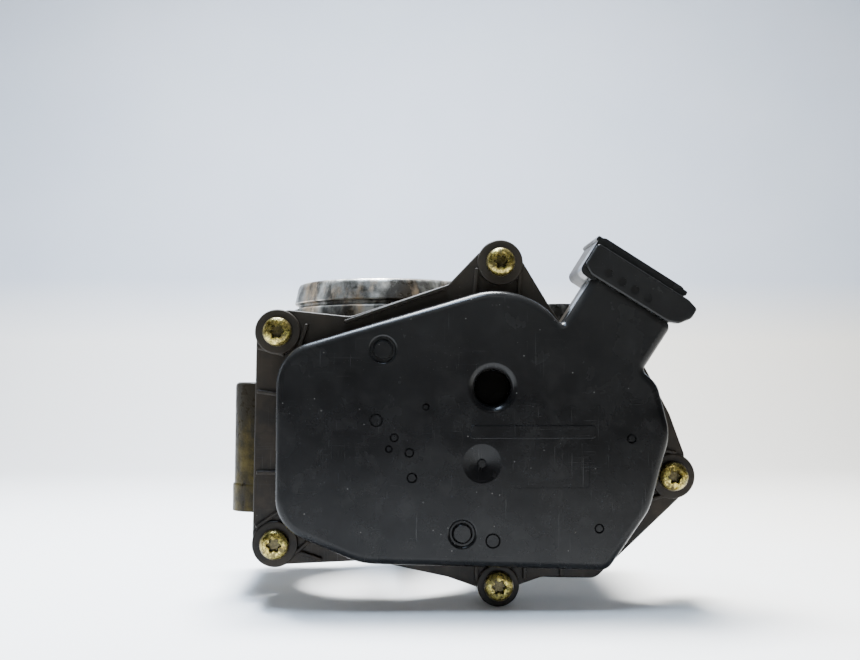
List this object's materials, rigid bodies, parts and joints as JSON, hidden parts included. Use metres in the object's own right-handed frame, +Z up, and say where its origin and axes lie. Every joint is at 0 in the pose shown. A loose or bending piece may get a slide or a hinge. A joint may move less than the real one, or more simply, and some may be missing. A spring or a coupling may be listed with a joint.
{
  "type": "throttle body",
  "caption": "Electric throttle body: cast bore housing with snout and bolt columns, black gear cover with angled connector, motor, gears and turning plate.",
  "frame": {"origin": "on the bore axis, in the manifold mounting face", "axes": "+Z up the bore to the snout, -Y out of the gear cover, +X towards the motor"},
  "size_m": [0.129, 0.0882, 0.1003],
  "materials": {
    "cast_aluminium": "sand-grained die casting, oil stained",
    "black_plastic": "glass-filled nylon, moulded, lightly scratched",
    "black_rubber": "moulded rubber",
    "zinc_steel": "bright yellowish zinc plate",
    "steel": "ground steel",
    "brass": "machined brass",
    "gear_plastic": "moulded gear plastic",
    "magnet": "sintered magnet",
    "copper": "copper",
    "board_green": "coated circuit board",
    "carbon": "pressed carbon",
    "tin_plate": "tin plated brass"
  },
  "bodies": {
    "body": {"throttle_housing": "cast_aluminium", "gear_cover": "black_plastic", "cover_gasket": "black_rubber", "front_bearing": "steel", "rear_bearing": "steel", "shaft_seal": "black_rubber", "rear_plug": "steel", "return_spring": "steel", "intermediate_pin": "steel", "motor_can": "steel", "motor_end_plate": "steel", "motor_screw_1": "steel", "motor_screw_2": "steel", "field_magnet_1": "magnet", "field_magnet_2": "magnet", "motor_brush_1": "carbon", "motor_brush_2": "carbon", "motor_front_bush": "brass", "motor_rear_bush": "brass", "motor_terminal_1": "tin_plate", "motor_terminal_2": "tin_plate", "wave_washer": "steel", "sensor_board": "board_green", "manifold_seal": "black_rubber", "cover_screw_1": "zinc_steel", "connector_terminal_1": "tin_plate", "cover_screw_2": "zinc_steel", "connector_terminal_2": "tin_plate", "cover_screw_3": "zinc_steel", "connector_terminal_3": "tin_plate", "cover_screw_4": "zinc_steel", "connector_terminal_4": "tin_plate", "cover_screw_5": "zinc_steel", "connector_terminal_5": "tin_plate"},
    "throttle": {"throttle_shaft": "steel", "throttle_plate": "brass", "plate_screw_1": "zinc_steel", "plate_screw_2": "zinc_steel", "sector_gear": "gear_plastic", "sensor_magnet": "magnet"},
    "intermediate": {"intermediate_gear": "gear_plastic"},
    "armature": {"motor_shaft": "steel", "armature_core": "copper", "commutator": "copper", "motor_pinion": "brass"}
  },
  "joints": [
    {"name": "throttle_turn", "type": "hinge", "parent": "body", "child": "throttle", "pos_m": [0, 0, 0.0232], "axis": [0, 1, 0], "range_deg": [0, 85], "stiffness_Nm_per_rad": 0.02},
    {"name": "intermediate_turn", "type": "hinge", "parent": "body", "child": "intermediate", "pos_m": [0.02867, 0, 0.03499], "axis": [0, 1, 0], "range_deg": [-356, 2]},
    {"name": "armature_turn", "type": "hinge", "parent": "body", "child": "armature", "pos_m": [0.04915, 0, 0.02091], "axis": [0, 1, 0], "range_deg": [-5, 1935]}
  ],
  "couplings": [
    {"joint": "intermediate_turn", "follows": "throttle_turn", "ratio": -4.1667},
    {"joint": "armature_turn", "follows": "throttle_turn", "ratio": 22.727}
  ]
}
